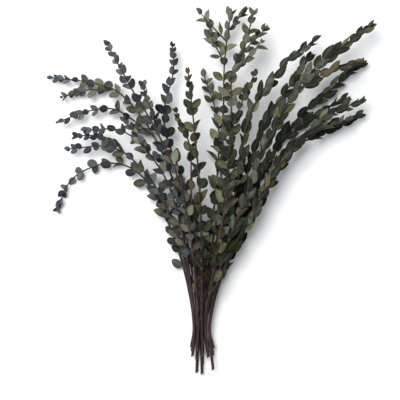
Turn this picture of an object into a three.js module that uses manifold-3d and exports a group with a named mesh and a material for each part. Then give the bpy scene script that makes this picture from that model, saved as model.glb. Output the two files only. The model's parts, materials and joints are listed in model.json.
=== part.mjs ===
// A bunch of dried eucalyptus, lying on a table.
//
// Eighteen cut branches fan out from a handful of bare stems. A branch grew as one piece, with its
// side shoots and its opposite pairs of leaves, so each branch is one closed solid.
//
// Frame: +Z up from the table, +Y from the cut ends to the tips, +X to the right. The origin is the
// middle of the bunch's footprint, on the table. Lengths are in millimetres and angles in degrees.

import * as THREE from "three";
import Module from "manifold-3d";

const wasm = await Module();
wasm.setup();
const { Manifold, Mesh: SolidMesh } = wasm;

// ---------------------------------------------------------------- driving dimensions

// The handful: where the stems are narrowest, the pitch between stems across and up, and how much
// wider apart the cut ends are.
const HANDFUL = { x: -17, y: -215, lowest: 3.2, across: 6.4, layer: 5.6, splay: 1.35 };

// Woody stems and their side shoots taper from the cut to the tip. Radii.
const STEM = { cut: 2.4, tip: 0.9 };
const SHOOT = { cut: 1.4, tip: 0.8 };
const TWIG_SIDES = 4;
const TWIG_STEP = 30;

// Leaves: blade size at full growth, the angle each one opens from its twig, and the gap from one
// pair to the next as a share of the leaf's length. Young is a tip leaf's size as a share of a full
// one, and tight is the gap between pairs at the tip.
const LEAVES = {
  round: { length: 20, width: 14.5, opens: 40, gap: 0.95, young: 0.62, tight: 0.62 },
  broad: { length: 23, width: 15.5, opens: 34, gap: 0.86, young: 0.5, tight: 0.7 },
  star: { length: 26, width: 13.5, opens: 46, gap: 0.86, young: 0.72, tight: 0.6 },
  feather: { length: 29, width: 14.5, opens: 18, gap: 0.62, young: 0.6, tight: 0.52 },
};
const BLADE_THICKNESS = 1.2;
const WIDEST = 0.46; // where a blade is widest, as a share of its length
const BLADE_ROOT = 0.5; // how far from the twig's middle a leaf starts, as a share of its radius
const YOUNG_STRETCH = 95; // the length over which leaves grow from tip size to full size
const STAGGER = 90; // each pair stands square to the last
const SPIRAL = 10; // a twig twists as it grows: the most that it adds from one pair to the next
const WOBBLE = 18; // and each pair is off by up to this much
const UNEVEN = 0.26; // how far the gap between two pairs is from its usual size, as a share of it
const FALLEN = 0.06; // the share of leaves that have dropped off
const LEVELLING = 0.7; // how far stalks twist to level their blades, from 0 to 1
const SHOOT_LEAFY = 12;

// A leaf that would touch a neighbour or the table is turned round its twig, or folded towards it.
const TURNS = [0, 34, -34, 68, -68];
const FOLDS = [1, 0.62];
const CLEARANCE = 0.45;
const BLADE_STARTS = 0.14; // the share of a leaf that may touch its own branch

// Each branch: its place in the handful as [across, layer], the cut end's Y, where leaves begin as a
// distance from the cut, the height that it arches to and the height of its tip, its route from the
// handful seen from above, and its side shoots, each from a share of the route to its own points.
const BRANCHES = [
  {
    name: "branch_arch_left", place: [-1.5, 0], cut: -262, leafy: 140, crest: 24, tip: 9, leaf: "round",
    plan: [[-45, -120], [-80, -25], [-120, 32], [-170, 46], [-225, 22], [-250, -25]],
    shoots: [],
  },
  {
    name: "branch_low_left", place: [-1.6, 1], cut: -255, leafy: 155, crest: 50, tip: 24, leaf: "round",
    plan: [[-40, -120], [-70, -28], [-110, 35], [-160, 72], [-228, 70]],
    shoots: [{ from: 0.8, plan: [[-190, 90], [-217, 88]], lift: 8 }],
  },
  {
    name: "branch_mid_left", place: [-1.4, 2], cut: -270, leafy: 170, crest: 82, tip: 42, leaf: "round",
    plan: [[-36, -120], [-60, -10], [-92, 52], [-140, 96], [-202, 100]],
    shoots: [{ from: 0.72, plan: [[-137, 114]], lift: 14 }],
  },
  {
    name: "branch_far_left", place: [-0.6, 0], cut: -298, leafy: 190, crest: 26, tip: 16, leaf: "round",
    plan: [[-32, -120], [-57, 5], [-95, 95], [-145, 158], [-195, 178], [-258, 186]],
    shoots: [
      { from: 0.66, plan: [[-150, 132], [-195, 132], [-247, 114]], lift: 6 },
      { from: 0.83, plan: [[-200, 166], [-241, 155]], lift: -2 },
    ],
  },
  {
    name: "branch_upper_left", place: [-0.5, 3], cut: -258, leafy: 170, crest: 112, tip: 62, leaf: "round",
    plan: [[-26, -118], [-48, 8], [-86, 96], [-125, 162], [-166, 237]],
    shoots: [{ from: 0.68, plan: [[-107, 166]], lift: 14 }],
  },
  {
    name: "branch_tall_left", place: [-0.6, 1], cut: -276, leafy: 120, crest: 54, tip: 30, leaf: "broad",
    plan: [[-22, -118], [-39, 0], [-68, 80], [-75, 130], [-60, 195], [-62, 238]],
    shoots: [{ from: 0.7, plan: [[-96, 134]], lift: 10 }],
  },
  {
    name: "branch_inner_left", place: [-0.4, 2], cut: -262, leafy: 100, crest: 84, tip: 62, leaf: "broad",
    plan: [[-18, -118], [-30, -15], [-33, 70], [-54, 126]],
    shoots: [],
  },
  {
    name: "branch_slim_left", place: [0.5, 3], cut: -268, leafy: 150, crest: 108, tip: 70, leaf: "broad",
    plan: [[-14, -118], [-17, 0], [-27, 110], [-36, 192]],
    shoots: [],
  },
  {
    name: "branch_tall_centre", place: [0.4, 1], cut: -300, leafy: 150, crest: 56, tip: 34, leaf: "star",
    plan: [[-2, -118], [16, 0], [21, 130], [23, 210], [33, 290]],
    shoots: [
      { from: 0.86, plan: [[0, 250]], lift: 12 },
      { from: 0.92, plan: [[0, 270], [-14, 286]], lift: 6 },
      { from: 0.95, plan: [[54, 291]], lift: 8 },
    ],
  },
  {
    name: "branch_crown_right", place: [0.6, 2], cut: -265, leafy: 170, crest: 82, tip: 60, leaf: "star",
    plan: [[2, -118], [25, 0], [33, 115], [38, 200], [87, 260]],
    shoots: [
      { from: 0.84, plan: [[80, 238]], lift: -8 },
      { from: 0.91, plan: [[68, 282]], lift: 8 },
    ],
  },
  {
    name: "branch_crown_left", place: [0.5, 0], cut: -286, leafy: 110, crest: 24, tip: 18, leaf: "star",
    plan: [[-7, -118], [9, 0], [13, 110], [-10, 190]],
    shoots: [],
  },
  {
    name: "branch_inner_right", place: [1.5, 3], cut: -255, leafy: 95, crest: 112, tip: 66, leaf: "broad",
    plan: [[6, -118], [26, -8], [34, 95], [71, 190]],
    shoots: [],
  },
  {
    name: "branch_slim_right", place: [1.6, 2], cut: -272, leafy: 150, crest: 84, tip: 46, leaf: "feather",
    plan: [[10, -118], [41, 0], [62, 118], [110, 195], [170, 245]],
    shoots: [],
  },
  {
    name: "branch_plume_right", place: [1.4, 1], cut: -260, leafy: 115, crest: 54, tip: 28, leaf: "feather",
    plan: [[14, -118], [50, -3], [84, 100], [161, 219]],
    shoots: [],
  },
  {
    name: "branch_long_right", place: [2.5, 3], cut: -292, leafy: 180, crest: 106, tip: 44, leaf: "feather",
    plan: [[17, -118], [57, -8], [100, 98], [160, 190], [257, 266]],
    shoots: [{ from: 0.75, plan: [[191, 193], [239, 206]], lift: -6 }],
  },
  {
    name: "branch_broad_right", place: [1.5, 0], cut: -266, leafy: 140, crest: 24, tip: 14, leaf: "feather",
    plan: [[20, -120], [65, -13], [120, 92], [190, 161], [250, 210]],
    shoots: [{ from: 0.66, plan: [[180, 130], [215, 149]], lift: 2 }],
  },
  {
    name: "branch_low_right", place: [2.6, 2], cut: -258, leafy: 150, crest: 78, tip: 36, leaf: "feather",
    plan: [[23, -122], [70, -29], [120, 56], [180, 116], [245, 148]],
    shoots: [{ from: 0.78, plan: [[220, 116]], lift: -8 }],
  },
  {
    name: "branch_edge_right", place: [2.5, 1], cut: -270, leafy: 140, crest: 46, tip: 20, leaf: "feather",
    plan: [[25, -125], [84, -10], [122, 58], [170, 90], [242, 123]],
    shoots: [],
  },
];

const UP = new THREE.Vector3(0, 0, 1);
const LEAF_GREEN = 0x5b6350;
const radians = THREE.MathUtils.degToRad;
const lerp = THREE.MathUtils.lerp;

// ---------------------------------------------------------------- routes

// A repeatable number from 0 to 1 for the n-th choice made on a branch.
function chance(n) {
  const raw = Math.sin(n * 12.9898) * 43758.5453;
  return raw - Math.floor(raw);
}

// A smooth route through the points, as a list of short straight steps.
function routeThrough(points) {
  const curve = new THREE.CatmullRomCurve3(points, false, "catmullrom", 0.5);
  const stretches = points.slice(1).flatMap((point, i) => {
    const steps = Math.max(1, Math.round(point.distanceTo(points[i]) / TWIG_STEP));
    return Array.from({ length: steps }, (_, k) => (i + (k + 1) / steps) / (points.length - 1));
  });
  return [0, ...stretches].map((t) => curve.getPoint(t));
}

function lengthOf(route) {
  return route.slice(1).reduce((sum, point, i) => sum + point.distanceTo(route[i]), 0);
}

// The point at a distance along a route, with the direction of the route there.
function pointAlong(route, distance) {
  let left = distance;
  for (let i = 1; i < route.length; i++) {
    const step = route[i].distanceTo(route[i - 1]);
    if (left <= step || i === route.length - 1) {
      const toward = route[i].clone().sub(route[i - 1]).normalize();
      return { at: route[i - 1].clone().addScaledVector(toward, left), toward };
    }
    left -= step;
  }
}

// A branch's main route: from the cut, through its place in the handful, and along its plan. Its
// height is a parabola from the handful to the tip.
function mainRoute(branch) {
  const [across, layer] = branch.place;
  const low = HANDFUL.lowest + layer * HANDFUL.layer;
  const offset = across * HANDFUL.across;
  const hand = new THREE.Vector3(HANDFUL.x + offset, HANDFUL.y, low);
  const flat = branch.plan.map(([x, y]) => new THREE.Vector3(x, y, low));
  const total = lengthOf([hand, ...flat]);
  const fan = flat.map((point, i) => {
    const u = lengthOf([hand, ...flat.slice(0, i + 1)]) / total;
    const height = (1 - u) ** 2 * low + 2 * u * (1 - u) * branch.crest + u ** 2 * branch.tip;
    return new THREE.Vector3(point.x, point.y, height);
  });
  const cut = new THREE.Vector3(HANDFUL.x + offset * HANDFUL.splay, branch.cut, low);
  return routeThrough([cut, hand, ...fan]);
}

// A side shoot's route: it leaves its parent part of the way along, and climbs or droops by its lift.
function shootRoute(parent, shoot) {
  const start = pointAlong(parent, lengthOf(parent) * shoot.from).at;
  const points = shoot.plan.map(([x, y], i) => {
    const share = (i + 1) / shoot.plan.length;
    return new THREE.Vector3(x, y, start.z + shoot.lift * share);
  });
  return routeThrough([start, ...points]);
}

// ---------------------------------------------------------------- solids

function solidFrom(vertices, triangles) {
  return new Manifold(
    new SolidMesh({
      numProp: 3,
      vertProperties: new Float32Array(vertices.flatMap((v) => v.toArray())),
      triVerts: new Uint32Array(triangles.flat()),
    }),
  );
}

// A tapered twig: a ring of corners at each step of the route, with a flat face at each end. Its
// sides face up, down, left and right, where leaves grow.
function twigSolid(route, radii) {
  const vertices = route.flatMap((point, i) => {
    const ahead = route[Math.min(i + 1, route.length - 1)];
    const behind = route[Math.max(i - 1, 0)];
    const toward = ahead.clone().sub(behind).normalize();
    const side = toward.clone().cross(UP).normalize();
    const top = side.clone().cross(toward);
    return Array.from({ length: TWIG_SIDES }, (_, k) => {
      const angle = (2 * Math.PI * (k + 0.5)) / TWIG_SIDES;
      return point
        .clone()
        .addScaledVector(side, radii[i] * Math.cos(angle))
        .addScaledVector(top, radii[i] * Math.sin(angle));
    });
  });
  const triangles = [];
  for (let i = 0; i < route.length - 1; i++) {
    for (let k = 0; k < TWIG_SIDES; k++) {
      const a = i * TWIG_SIDES + k;
      const b = i * TWIG_SIDES + ((k + 1) % TWIG_SIDES);
      triangles.push([a, a + TWIG_SIDES, b], [b, a + TWIG_SIDES, b + TWIG_SIDES]);
    }
  }
  const last = (route.length - 1) * TWIG_SIDES;
  for (let k = 1; k < TWIG_SIDES - 1; k++) {
    triangles.push([0, k, k + 1], [last, last + k + 1, last + k]);
  }
  return solidFrom(vertices, triangles);
}

// A leaf's axes: out from the twig, along its midrib, across its blade, and up from its upper face.
// The upper face looks at the twig, and the stalk twists to hold the blade more level.
function leafAxes({ toward, turn, opens }) {
  const side = toward.clone().cross(UP).normalize();
  const top = side.clone().cross(toward);
  const outward = side.multiplyScalar(Math.cos(radians(turn))).addScaledVector(top, Math.sin(radians(turn)));
  const mix = (a, b) => toward.clone().multiplyScalar(a).addScaledVector(outward, b);
  const along = mix(Math.cos(radians(opens)), Math.sin(radians(opens)));
  const inward = mix(Math.sin(radians(opens)), -Math.cos(radians(opens)));
  const level = UP.clone().addScaledVector(along, -UP.dot(along)).normalize();
  const twist = inward.dot(level) < -0.3 ? -LEVELLING : LEVELLING;
  const face = inward.multiplyScalar(1 - LEVELLING).addScaledVector(level, twist).normalize();
  return { outward, along, across: face.clone().cross(along), face };
}

// A leaf blade, as a diamond with a flat back and a raised middle. It starts at a share of its
// length, and clearance swells it on every side.
function leafSolid(leaf, starts = 0, clearance = 0) {
  const { outward, along, across, face } = leafAxes(leaf);
  const half = leaf.width / 2 + clearance;
  const corner = (share, side, height) =>
    leaf.at
      .clone()
      .addScaledVector(outward, leaf.root)
      .addScaledVector(along, leaf.length * share)
      .addScaledVector(across, half * side)
      .addScaledVector(face, height);
  const outline = [
    corner(starts, 0, 0),
    corner(WIDEST, -1, -clearance),
    corner(1 + clearance / leaf.length, 0, 0),
    corner(WIDEST, 1, -clearance),
  ];
  const crown = corner(WIDEST, 0, BLADE_THICKNESS + clearance);
  const backFaces = [[0, 3, 1], [1, 3, 2]];
  const crownFaces = outline.map((_, k) => [k, (k + 1) % outline.length, outline.length]);
  return solidFrom([...outline, crown], [...backFaces, ...crownFaces]);
}

// ---------------------------------------------------------------- growing

// What new leaves must keep clear of: short stretches of twig, and the leaves so far.
const neighbours = [];

function addNeighbour(solid, branch, twig) {
  neighbours.push({ solid, box: solid.boundingBox(), branch, twig });
}

function boxesMeet(a, b) {
  return [0, 1, 2].every((k) => a.min[k] <= b.max[k] && b.min[k] <= a.max[k]);
}

function isClear(leaf, twig) {
  const whole = leafSolid(leaf, 0, CLEARANCE);
  const blade = leafSolid(leaf, BLADE_STARTS, CLEARANCE);
  const box = whole.boundingBox();
  if (box.min[2] < 0) return false;
  return !neighbours.some((other) => {
    if (other.twig === twig || !boxesMeet(box, other.box)) return false;
    const tested = other.branch === twig.branch ? blade : whole;
    return !tested.intersect(other.solid).isEmpty();
  });
}

// The first way of holding a leaf that keeps it clear, or null if it has no room.
function roomFor(leaf, twig) {
  for (const fold of FOLDS) {
    for (const turn of TURNS) {
      const tried = { ...leaf, turn: leaf.turn + turn, opens: leaf.opens * fold };
      if (isClear(tried, twig)) return tried;
    }
  }
  return null;
}

// The leaves of one twig, in opposite pairs from its base to its tip.
function leavesAlong({ route, size, kind, leafy, seed }) {
  const total = lengthOf(route);
  const leaves = [];
  const stagger = STAGGER + lerp(-SPIRAL, SPIRAL, chance(seed + 0.75));
  let distance = leafy;
  for (let pair = 0; distance < total; pair++) {
    const grown = Math.min(1, (total - distance) / YOUNG_STRETCH);
    const growth = lerp(kind.young, 1, grown) * lerp(0.84, 1.13, chance(seed + pair));
    const wobble = lerp(-WOBBLE, WOBBLE, chance(seed + pair + 0.5));
    const spin = STAGGER * chance(seed + 0.25) + pair * stagger + wobble;
    for (const side of [0, 180]) {
      if (chance(seed + pair + side + 0.375) < FALLEN) continue;
      leaves.push({
        ...pointAlong(route, distance),
        root: BLADE_ROOT * lerp(size.cut, size.tip, distance / total),
        turn: spin + side,
        opens: kind.opens * lerp(0.8, 1.2, chance(seed + pair + side)) * lerp(0.7, 1, grown),
        length: kind.length * growth,
        width: kind.width * growth,
      });
    }
    const gap = lerp(kind.tight, kind.gap, grown) * lerp(1 - UNEVEN, 1 + UNEVEN, chance(seed + pair + 0.125));
    distance += kind.length * growth * gap;
  }
  return leaves;
}

function joinAll(solids) {
  let joined = solids;
  while (joined.length > 1) {
    const next = [];
    for (let i = 0; i < joined.length; i += 2) {
      next.push(i + 1 < joined.length ? joined[i].add(joined[i + 1]) : joined[i]);
    }
    joined = next;
  }
  return joined[0];
}

function geometryOf(solid) {
  const { numProp, vertProperties, triVerts } = solid.getMesh();
  const positions = new Float32Array((vertProperties.length / numProp) * 3);
  for (let i = 0; i < positions.length / 3; i++) {
    positions.set(vertProperties.subarray(i * numProp, i * numProp + 3), i * 3);
  }
  const geometry = new THREE.BufferGeometry();
  geometry.setAttribute("position", new THREE.BufferAttribute(positions, 3));
  geometry.setIndex(new THREE.BufferAttribute(triVerts, 1));
  geometry.computeVertexNormals();
  return geometry;
}

function makeTwig(branch, route, size, leafy, seed) {
  const radii = route.map((_, i) => lerp(size.cut, size.tip, i / (route.length - 1)));
  return { branch: branch.name, kind: LEAVES[branch.leaf], route, radii, size, leafy, seed };
}

// Every twig of the bunch: a branch's own stem first, then its side shoots.
const twigs = BRANCHES.flatMap((branch, b) => {
  const route = mainRoute(branch);
  const shoots = branch.shoots.map((shoot, s) => {
    const seed = b + 1 + (s + 1) * BRANCHES.length;
    return makeTwig(branch, shootRoute(route, shoot), SHOOT, SHOOT_LEAFY, seed);
  });
  return [makeTwig(branch, route, STEM, branch.leafy, b + 1), ...shoots];
});

for (const twig of twigs) {
  for (let i = 1; i < twig.route.length; i++) {
    const stretch = twigSolid(twig.route.slice(i - 1, i + 1), twig.radii.slice(i - 1, i + 1));
    addNeighbour(stretch, twig.branch, twig);
  }
}

const bunch = new THREE.Group();
for (const branch of BRANCHES) {
  const solids = [];
  for (const twig of twigs.filter((t) => t.branch === branch.name)) {
    solids.push(twigSolid(twig.route, twig.radii));
    for (const leaf of leavesAlong(twig)) {
      const placed = roomFor(leaf, twig);
      if (!placed) continue;
      const solid = leafSolid(placed);
      addNeighbour(solid, branch.name, null);
      solids.push(solid);
    }
  }
  const material = new THREE.MeshStandardMaterial({ color: LEAF_GREEN, roughness: 0.85, metalness: 0 });
  const mesh = new THREE.Mesh(geometryOf(joinAll(solids)), material);
  mesh.name = branch.name;
  bunch.add(mesh);
}

export default bunch;
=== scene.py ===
# %% [markdown]
# # A bunch of dried eucalyptus
#
# Eighteen cut branches of small-leaved eucalyptus lie on a table. Their bare stems are together in a
# handful, and their leafy tips fan out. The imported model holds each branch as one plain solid, with
# diamonds for leaves. This script keeps every twig and every leaf where that model has it, and gives
# it its real form: smooth woody twigs that swell where leaves join, thin cupped leaves on short
# stalks, and the muted slate and olive greens of dried foliage.

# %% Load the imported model
import json
import math
from types import SimpleNamespace

import bpy
import mathutils
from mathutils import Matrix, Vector

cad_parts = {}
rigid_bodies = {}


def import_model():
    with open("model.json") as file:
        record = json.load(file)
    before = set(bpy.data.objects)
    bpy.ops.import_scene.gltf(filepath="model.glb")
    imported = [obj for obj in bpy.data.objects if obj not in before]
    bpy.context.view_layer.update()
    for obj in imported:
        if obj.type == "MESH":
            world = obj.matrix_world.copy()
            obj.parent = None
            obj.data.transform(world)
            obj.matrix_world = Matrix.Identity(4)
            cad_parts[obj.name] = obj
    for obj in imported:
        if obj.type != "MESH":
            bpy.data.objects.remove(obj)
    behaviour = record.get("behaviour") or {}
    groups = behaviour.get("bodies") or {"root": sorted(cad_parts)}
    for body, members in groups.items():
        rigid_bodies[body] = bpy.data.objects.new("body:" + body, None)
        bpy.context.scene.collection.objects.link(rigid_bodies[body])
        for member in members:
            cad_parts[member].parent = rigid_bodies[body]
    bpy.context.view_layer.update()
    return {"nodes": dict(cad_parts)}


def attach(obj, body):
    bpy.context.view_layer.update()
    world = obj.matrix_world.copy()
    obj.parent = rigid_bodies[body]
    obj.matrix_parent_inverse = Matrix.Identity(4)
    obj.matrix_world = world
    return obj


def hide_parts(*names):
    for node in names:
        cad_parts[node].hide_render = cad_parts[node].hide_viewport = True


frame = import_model()

# %% [markdown]
# ## The table, the light and the camera
#
# The bunch lies on a pale table under soft studio light: one broad lamp overhead, a second one low
# on the left that rounds the twigs, and a pale sky that fills the shadows. The camera hangs above
# the table and looks straight down, because the bunch is seen on the side that it would show if it
# stood in a vase. A long lens keeps the tips and the stems on one scale.

# %% Table top
scene = bpy.context.scene
scene.view_settings.view_transform = "Standard"


def plain_material(name, colour, roughness):
    material = bpy.data.materials.new(name)
    material.use_nodes = True
    shader = material.node_tree.nodes["Principled BSDF"]
    shader.inputs["Base Color"].default_value = (*colour, 1)
    shader.inputs["Roughness"].default_value = roughness
    return material


TABLE_HALF = 3.0
table_mesh = bpy.data.meshes.new("table_top")
corners = [(x * TABLE_HALF, y * TABLE_HALF, 0) for x, y in ((-1, -1), (1, -1), (1, 1), (-1, 1))]
table_mesh.from_pydata(corners, [], [(0, 1, 2, 3)])
table_mesh.materials.append(plain_material("pale_table", (0.86, 0.86, 0.86), 0.8))
table_top = bpy.data.objects.new("table_top", table_mesh)
scene.collection.objects.link(table_top)
print("table top:", 2 * TABLE_HALF, "m square")

# %% Lamps and sky


def soft_lamp(name, place, target, size, watts):
    light = bpy.data.lights.new(name, "AREA")
    light.shape = "SQUARE"
    light.size = size
    light.energy = watts
    lamp = bpy.data.objects.new(name, light)
    lamp.location = place
    lamp.rotation_mode = "QUATERNION"
    lamp.rotation_quaternion = (Vector(target) - Vector(place)).to_track_quat("-Z", "Y")
    scene.collection.objects.link(lamp)


soft_lamp("lamp_overhead", place=(-0.7, 0.8, 2.5), target=(0, 0, 0), size=1.5, watts=78)
soft_lamp("lamp_left", place=(-1.8, -0.6, 1.0), target=(0, 0, 0.05), size=1.0, watts=10)
sky = bpy.data.worlds.new("studio_sky")
sky.use_nodes = True
sky.node_tree.nodes["Background"].inputs["Color"].default_value = (0.95, 0.97, 1, 1)
sky.node_tree.nodes["Background"].inputs["Strength"].default_value = 0.5
scene.world = sky

# %% Camera
VIEW_CENTRE = Vector((-0.0168, -0.014, 0.05))
VIEW_WIDTH = 0.645
LENS = 120
camera_data = bpy.data.cameras.new("camera_above")
camera_data.lens = LENS
camera = bpy.data.objects.new("camera_above", camera_data)
camera.location = VIEW_CENTRE + Vector((0, 0, VIEW_WIDTH * LENS / camera_data.sensor_width))
scene.collection.objects.link(camera)
scene.camera = camera
print("camera height:", round(camera.location.z, 3))

# %% [markdown]
# ## How a branch grows
#
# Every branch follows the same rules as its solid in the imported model, so the same few dimensions
# and the same list of routes are stated here once more. A route is a list of points seen from above.
# It starts at the cut, passes through its own place in the handful, and rises and falls along a
# parabola to its tip. Leaves sit in opposite pairs, each pair square to the last, and grow smaller
# towards the tip.

# %% Growing dimensions, in millimetres and degrees
MM = 0.001
HANDFUL = SimpleNamespace(x=-17, y=-215, lowest=3.2, across=6.4, layer=5.6, splay=1.35)
STEM = (2.4, 0.9)  # a stem's radius at its cut and at its tip
SHOOT = (1.4, 0.8)
TWIG_STEP = 30  # a straight step of a packed twig
LEAVES = {
    "round": SimpleNamespace(length=20, opens=40, gap=0.95, young=0.62, tight=0.62),
    "broad": SimpleNamespace(length=23, opens=34, gap=0.86, young=0.5, tight=0.7),
    "star": SimpleNamespace(length=26, opens=46, gap=0.86, young=0.72, tight=0.6),
    "feather": SimpleNamespace(length=29, opens=18, gap=0.62, young=0.6, tight=0.52),
}
BLADE_ROOT = 0.5  # how far from the twig's middle a leaf starts, as a share of its radius
YOUNG_STRETCH = 95  # leaves grow from tip size to full size over this length
STAGGER, SPIRAL, WOBBLE = 90, 10, 18  # from one pair to the next, and how much that varies
LEVELLING = 0.7  # how far stalks twist to level their blades, from 0 to 1
UNEVEN, FALLEN = 0.26, 0.06  # how uneven the gaps are, and the share of leaves that have dropped
SIZES, OPENINGS = (0.84, 1.13), (0.8, 1.2)  # how much leaves vary in length and in angle
YOUNG_OPENS = 0.7  # how far a tip leaf opens, as a share of a full one
SHOOT_LEAFY = 12
TURNS = (0, 34, -34, 68, -68)  # how far a crowded leaf is turned round its twig
FOLDS = (1, 0.62)  # and folded towards it

# %% Branches: place in the handful, cut, leaves, heights, route and side shoots


def branch(name, place, cut, leafy, crest, tip, leaf, tone, plan, shoots=()):
    return SimpleNamespace(
        name="branch_" + name, place=place, cut=cut, leafy=leafy, crest=crest, tip=tip,
        leaf=leaf, tone=tone, plan=plan, shoots=shoots,
    )


BRANCHES = [
    branch("arch_left", (-1.5, 0), -262, 140, 24, 9, "round", "slate",
           [(-45, -120), (-80, -25), (-120, 32), (-170, 46), (-225, 22), (-250, -25)]),
    branch("low_left", (-1.6, 1), -255, 155, 50, 24, "round", "slate",
           [(-40, -120), (-70, -28), (-110, 35), (-160, 72), (-228, 70)],
           [(0.8, [(-190, 90), (-217, 88)], 8)]),
    branch("mid_left", (-1.4, 2), -270, 170, 82, 42, "round", "slate",
           [(-36, -120), (-60, -10), (-92, 52), (-140, 96), (-202, 100)],
           [(0.72, [(-137, 114)], 14)]),
    branch("far_left", (-0.6, 0), -298, 190, 26, 16, "round", "slate",
           [(-32, -120), (-57, 5), (-95, 95), (-145, 158), (-195, 178), (-258, 186)],
           [(0.66, [(-150, 132), (-195, 132), (-247, 114)], 6),
            (0.83, [(-200, 166), (-241, 155)], -2)]),
    branch("upper_left", (-0.5, 3), -258, 170, 112, 62, "round", "slate",
           [(-26, -118), (-48, 8), (-86, 96), (-125, 162), (-166, 237)],
           [(0.68, [(-107, 166)], 14)]),
    branch("tall_left", (-0.6, 1), -276, 120, 54, 30, "broad", "slate",
           [(-22, -118), (-39, 0), (-68, 80), (-75, 130), (-60, 195), (-62, 238)],
           [(0.7, [(-96, 134)], 10)]),
    branch("inner_left", (-0.4, 2), -262, 100, 84, 62, "broad", "olive",
           [(-18, -118), (-30, -15), (-33, 70), (-54, 126)]),
    branch("slim_left", (0.5, 3), -268, 150, 108, 70, "broad", "olive",
           [(-14, -118), (-17, 0), (-27, 110), (-36, 192)]),
    branch("tall_centre", (0.4, 1), -300, 150, 56, 34, "star", "olive",
           [(-2, -118), (16, 0), (21, 130), (23, 210), (33, 290)],
           [(0.86, [(0, 250)], 12), (0.92, [(0, 270), (-14, 286)], 6), (0.95, [(54, 291)], 8)]),
    branch("crown_right", (0.6, 2), -265, 170, 82, 60, "star", "olive",
           [(2, -118), (25, 0), (33, 115), (38, 200), (87, 260)],
           [(0.84, [(80, 238)], -8), (0.91, [(68, 282)], 8)]),
    branch("crown_left", (0.5, 0), -286, 110, 24, 18, "star", "olive",
           [(-7, -118), (9, 0), (13, 110), (-10, 190)]),
    branch("inner_right", (1.5, 3), -255, 95, 112, 66, "broad", "olive",
           [(6, -118), (26, -8), (34, 95), (71, 190)]),
    branch("slim_right", (1.6, 2), -272, 150, 84, 46, "feather", "olive",
           [(10, -118), (41, 0), (62, 118), (110, 195), (170, 245)]),
    branch("plume_right", (1.4, 1), -260, 115, 54, 28, "feather", "olive",
           [(14, -118), (50, -3), (84, 100), (161, 219)]),
    branch("long_right", (2.5, 3), -292, 180, 106, 44, "feather", "olive",
           [(17, -118), (57, -8), (100, 98), (160, 190), (257, 266)],
           [(0.75, [(191, 193), (239, 206)], -6)]),
    branch("broad_right", (1.5, 0), -266, 140, 24, 14, "feather", "olive",
           [(20, -120), (65, -13), (120, 92), (190, 161), (250, 210)],
           [(0.66, [(180, 130), (215, 149)], 2)]),
    branch("low_right", (2.6, 2), -258, 150, 78, 36, "feather", "olive",
           [(23, -122), (70, -29), (120, 56), (180, 116), (245, 148)],
           [(0.78, [(220, 116)], -8)]),
    branch("edge_right", (2.5, 1), -270, 140, 46, 20, "feather", "olive",
           [(25, -125), (84, -10), (122, 58), (170, 90), (242, 123)]),
]
print("branches listed:", len(BRANCHES))

# %% [markdown]
# ## Routes
#
# A Catmull-Rom curve passes through every point of a route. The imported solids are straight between
# steps of about 30 mm, and their leaves sit on those straight steps. The fine twigs follow the
# smooth curve itself, so each leaf is shifted by the small gap between the two.

# %% Smooth curves through a few points


def curve_point(points, t):
    """The point at t, from 0 to 1, on the smooth curve through the points."""
    spans = len(points) - 1
    i = min(int(t * spans + 1e-9), spans - 1)
    u = t * spans - i
    here, there = points[i], points[i + 1]
    before = points[i - 1] if i > 0 else 2 * here - there
    after = points[i + 2] if i + 2 < len(points) else 2 * there - here
    leave, arrive = (there - before) / 2, (after - here) / 2
    bend = (2 * here - 2 * there + leave + arrive) * u**3
    sweep = (-3 * here + 3 * there - 2 * leave - arrive) * u**2
    return here + leave * u + sweep + bend


def stepped(points):
    """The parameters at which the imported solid's twig has its corners."""
    spans = len(points) - 1
    stops = [0.0]
    for i in range(spans):
        steps = max(1, math.floor((points[i + 1] - points[i]).length / TWIG_STEP + 0.5))
        stops += [(i + (k + 1) / steps) / spans for k in range(steps)]
    return stops


def length_of(route):
    return sum((b - a).length for a, b in zip(route, route[1:]))


def step_at(route, distance):
    """Which straight step holds a distance along the route, and how far into it that is."""
    left = distance
    for i in range(len(route) - 1):
        step = (route[i + 1] - route[i]).length
        if left <= step or i == len(route) - 2:
            return i, left
        left -= step


def point_along(route, distance):
    i, into = step_at(route, distance)
    toward = (route[i + 1] - route[i]).normalized()
    return route[i] + toward * into, toward


# %% The route of a stem and of a side shoot


def stem_points(b):
    across, layer = b.place
    low = HANDFUL.lowest + layer * HANDFUL.layer
    offset = across * HANDFUL.across
    hand = Vector((HANDFUL.x + offset, HANDFUL.y, low))
    flat = [Vector((x, y, low)) for x, y in b.plan]
    total = length_of([hand, *flat])
    points = [Vector((HANDFUL.x + offset * HANDFUL.splay, b.cut, low)), hand]
    for i, point in enumerate(flat):
        u = length_of([hand, *flat[: i + 1]]) / total
        height = (1 - u) ** 2 * low + 2 * u * (1 - u) * b.crest + u**2 * b.tip
        points.append(Vector((point.x, point.y, height)))
    return points


def shoot_points(stem_route, share, plan, lift):
    start, _ = point_along(stem_route, length_of(stem_route) * share)
    climbs = [start.z + lift * (i + 1) / len(plan) for i in range(len(plan))]
    return [start, *(Vector((x, y, z)) for (x, y), z in zip(plan, climbs))]


def twig(b, points, radii, leafy, seed):
    stops = stepped(points)
    route = [curve_point(points, t) for t in stops]
    return SimpleNamespace(
        branch=b.name, kind=b.leaf, points=points, stops=stops, route=route, radii=radii,
        leafy=leafy, seed=seed,
    )


def twigs_of(b, number):
    stem = twig(b, stem_points(b), STEM, b.leafy, number)
    seeds = [number + (s + 1) * len(BRANCHES) for s in range(len(b.shoots))]
    shoots = [
        twig(b, shoot_points(stem.route, *shoot), SHOOT, SHOOT_LEAFY, seed)
        for shoot, seed in zip(b.shoots, seeds)
    ]
    return [stem, *shoots]


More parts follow.
